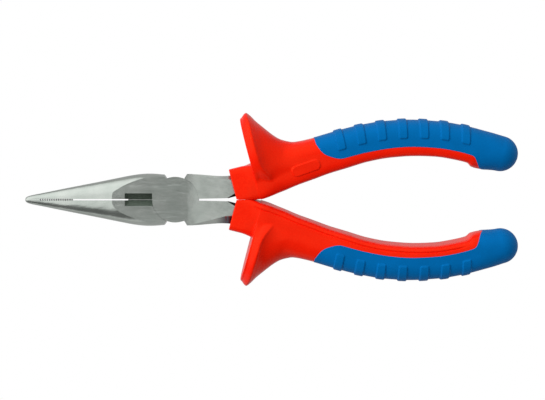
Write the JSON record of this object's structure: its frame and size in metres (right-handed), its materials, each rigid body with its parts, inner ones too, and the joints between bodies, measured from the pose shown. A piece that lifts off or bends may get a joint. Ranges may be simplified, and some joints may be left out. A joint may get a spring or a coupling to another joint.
{
  "type": "needle nose pliers",
  "caption": "Long nose pliers with tapered serrated jaws, a side cutter at the lap joint, guarded handles and soft ribbed grips, for gripping, bending and cutting wire.",
  "frame": {"origin": "on the pivot axis, at the lower ground face of the lap joint", "axes": "+Z along the pivot axis, up through the upper joint face; +X from the pivot towards the handle ends; +Y towards the upper_jaw_half's jaw"},
  "size_m": [0.1595, 0.0576, 0.021],
  "materials": {
    "ground_steel": "satin, ground and lightly polished",
    "red_sleeve": "smooth semi-gloss",
    "blue_grip": "soft, low sheen"
  },
  "bodies": {
    "riveted_half": {"upper_jaw_half": "ground_steel", "pivot_rivet": "ground_steel", "lower_handle_sleeve": "red_sleeve", "lower_handle_grip": "blue_grip"},
    "moving_half": {"lower_jaw_half": "ground_steel", "upper_handle_sleeve": "red_sleeve", "upper_handle_grip": "blue_grip"}
  },
  "joints": [
    {"name": "jaw_pivot", "type": "hinge", "parent": "riveted_half", "child": "moving_half", "pos_m": [0, 0, 0.0045], "axis": [0, 0, 1], "range_deg": [0, 42]}
  ]
}
